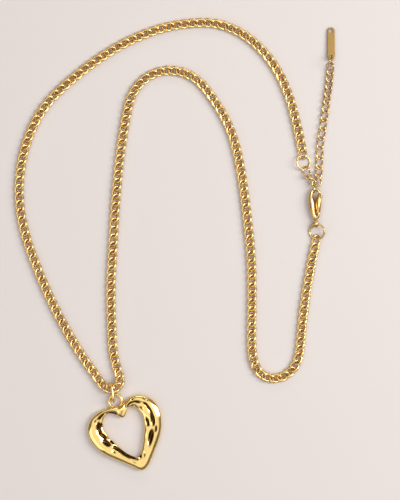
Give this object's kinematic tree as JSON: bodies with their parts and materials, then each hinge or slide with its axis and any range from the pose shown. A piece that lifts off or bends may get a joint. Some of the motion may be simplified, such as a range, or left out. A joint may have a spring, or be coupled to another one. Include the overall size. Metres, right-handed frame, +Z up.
{
  "type": "pendant necklace",
  "caption": "Gold-tone curb chain necklace with an open heart pendant on an oval bail, a lobster clasp and an extender chain with an end tag, laid flat.",
  "frame": {"origin": "on the surface that the necklace lies on, below the middle of its bounding box", "axes": "+Z up, +Y along the longest extent from the heart towards the end tag, +X towards the clasp and extender"},
  "size_m": [0.0927, 0.131, 0.0038],
  "materials": {
    "gold": "polished gold-tone plating",
    "heart": "high polish cast gold-tone, softly uneven",
    "tag": "satin gold-tone plating",
    "steel": "spring wire"
  },
  "bodies": {
    "chain": {"chain_section_01": "gold", "chain_section_02": "gold", "chain_section_03": "gold", "chain_section_04": "gold", "chain_section_05": "gold", "chain_section_06": "gold", "chain_section_07": "gold", "chain_section_08": "gold", "chain_section_09": "gold", "chain_section_10": "gold", "chain_section_11": "gold", "chain_section_12": "gold", "chain_section_13": "gold"},
    "bail": {"bail_ring": "gold"},
    "pendant": {"heart": "heart", "heart_loop": "gold"},
    "ring_a": {"extender_ring": "gold"},
    "ring_b": {"clasp_ring": "gold"},
    "clasp": {"clasp_body": "gold", "clasp_pin": "gold", "clasp_spring": "steel"},
    "lever": {"clasp_lever": "gold"},
    "link_01": {"extender_link_01": "gold"},
    "link_02": {"extender_link_02": "gold"},
    "link_03": {"extender_link_03": "gold"},
    "link_04": {"extender_link_04": "gold"},
    "link_05": {"extender_link_05": "gold"},
    "link_06": {"extender_link_06": "gold"},
    "link_07": {"extender_link_07": "gold"},
    "link_08": {"extender_link_08": "gold"},
    "link_09": {"extender_link_09": "gold"},
    "link_10": {"extender_link_10": "gold"},
    "link_11": {"extender_link_11": "gold"},
    "link_12": {"extender_link_12": "gold"},
    "link_13": {"extender_link_13": "gold"},
    "link_14": {"extender_link_14": "gold"},
    "link_15": {"extender_link_15": "gold"},
    "link_16": {"extender_link_16": "gold"},
    "link_17": {"extender_link_17": "gold"},
    "tag_loop": {"tag_ring": "gold"},
    "tag": {"end_tag": "tag"}
  },
  "joints": [
    {"name": "bail_swing", "type": "hinge", "parent": "chain", "child": "bail", "pos_m": [-0.01929, -0.04138, 0.00169], "axis": [0.9576, -0.288, 0], "range_deg": [0, 15]},
    {"name": "pendant_swing", "type": "hinge", "parent": "bail", "child": "pendant", "pos_m": [-0.01799, -0.04458, 0.00125], "axis": [0, 0, 1], "range_deg": [-12, 12]},
    {"name": "extender_ring_roll", "type": "hinge", "parent": "chain", "child": "ring_a", "pos_m": [0.03695, 0.0241, 0.0011], "axis": [-0.0087, 0.9975, -0.0698], "range_deg": [-2, 5]},
    {"name": "link_01_roll", "type": "hinge", "parent": "chain", "child": "link_01", "pos_m": [0.03795, 0.02105, 0.00115], "axis": [0.3561, -0.9276, 0.1132], "range_deg": [-4, 4]},
    {"name": "link_02_roll", "type": "hinge", "parent": "chain", "child": "link_02", "pos_m": [0.0391, 0.01888, 0.00175], "axis": [0.659, -0.7318, 0.1736], "range_deg": [-2, 4]},
    {"name": "clasp_ring_roll", "type": "hinge", "parent": "chain", "child": "ring_b", "pos_m": [0.04085, 0.00405, 0.00125], "axis": [-0.0173, 0.9913, 0.1305], "range_deg": [-3, 4]},
    {"name": "clasp_roll", "type": "hinge", "parent": "chain", "child": "clasp", "pos_m": [0.04055, 0.0063, 0.0015], "axis": [-0.0436, 0.999, 0], "range_deg": [-3, 2]},
    {"name": "lever_open", "type": "hinge", "parent": "clasp", "child": "lever", "pos_m": [0.04139, 0.00889, 0.0015], "axis": [0, 0, 1], "range_deg": [0, 5], "stiffness_Nm_per_rad": 0.00002},
    {"name": "link_03_roll", "type": "hinge", "parent": "clasp", "child": "link_03", "pos_m": [0.04015, 0.0171, 0.00155], "axis": [0.0694, 0.9921, 0.1045], "range_deg": [-3, 2]},
    {"name": "link_04_swing", "type": "hinge", "parent": "clasp", "child": "link_04", "pos_m": [0.0407, 0.018, 0.00135], "axis": [0, 0, -1], "range_deg": [-1, 3]},
    {"name": "link_05_swing", "type": "hinge", "parent": "link_04", "child": "link_05", "pos_m": [0.04128, 0.02005, 0.00094], "axis": [0, 0, -1], "range_deg": [-1, 5]},
    {"name": "link_06_swing", "type": "hinge", "parent": "link_05", "child": "link_06", "pos_m": [0.04152, 0.02265, 0.00068], "axis": [0, 0, -1], "range_deg": [-2, 9]},
    {"name": "link_07_swing", "type": "hinge", "parent": "link_06", "child": "link_07", "pos_m": [0.04165, 0.02545, 0.00068], "axis": [0, 0, -1], "range_deg": [-2, 9]},
    {"name": "link_08_swing", "type": "hinge", "parent": "link_07", "child": "link_08", "pos_m": [0.0418, 0.02825, 0.00068], "axis": [0, 0, -1], "range_deg": [-2, 9]},
    {"name": "link_09_swing", "type": "hinge", "parent": "link_08", "child": "link_09", "pos_m": [0.0421, 0.03103, 0.00068], "axis": [0, 0, -1], "range_deg": [-2, 9]},
    {"name": "link_10_swing", "type": "hinge", "parent": "link_09", "child": "link_10", "pos_m": [0.04253, 0.03375, 0.00068], "axis": [0, 0, -1], "range_deg": [-2, 9]},
    {"name": "link_11_swing", "type": "hinge", "parent": "link_10", "child": "link_11", "pos_m": [0.04292, 0.03642, 0.00068], "axis": [0, 0, -1], "range_deg": [-2, 9]},
    {"name": "link_12_swing", "type": "hinge", "parent": "link_11", "child": "link_12", "pos_m": [0.04328, 0.03902, 0.00068], "axis": [0, 0, -1], "range_deg": [-2, 9]},
    {"name": "link_13_swing", "type": "hinge", "parent": "link_12", "child": "link_13", "pos_m": [0.04362, 0.04145, 0.00068], "axis": [0, 0, -1], "range_deg": [-2, 9]},
    {"name": "link_14_swing", "type": "hinge", "parent": "link_13", "child": "link_14", "pos_m": [0.04395, 0.04367, 0.00068], "axis": [0, 0, -1], "range_deg": [-2, 9]},
    {"name": "link_15_swing", "type": "hinge", "parent": "link_14", "child": "link_15", "pos_m": [0.04425, 0.04585, 0.00068], "axis": [0, 0, -1], "range_deg": [-2, 9]},
    {"name": "link_16_swing", "type": "hinge", "parent": "link_15", "child": "link_16", "pos_m": [0.0445, 0.04802, 0.00068], "axis": [0, 0, -1], "range_deg": [-2, 9]},
    {"name": "link_17_swing", "type": "hinge", "parent": "link_16", "child": "link_17", "pos_m": [0.0447, 0.05015, 0.00072], "axis": [0, 0, -1], "range_deg": [-2, 9]},
    {"name": "tag_ring_roll", "type": "hinge", "parent": "link_17", "child": "tag_loop", "pos_m": [0.04487, 0.05327, 0.00176], "axis": [-0.0174, 0.9998, 0], "range_deg": [-5, 5]},
    {"name": "tag_swing", "type": "hinge", "parent": "tag_loop", "child": "tag", "pos_m": [0.045, 0.0545, 0.00094], "axis": [0, 0, -1], "range_deg": [-8, 12]}
  ]
}
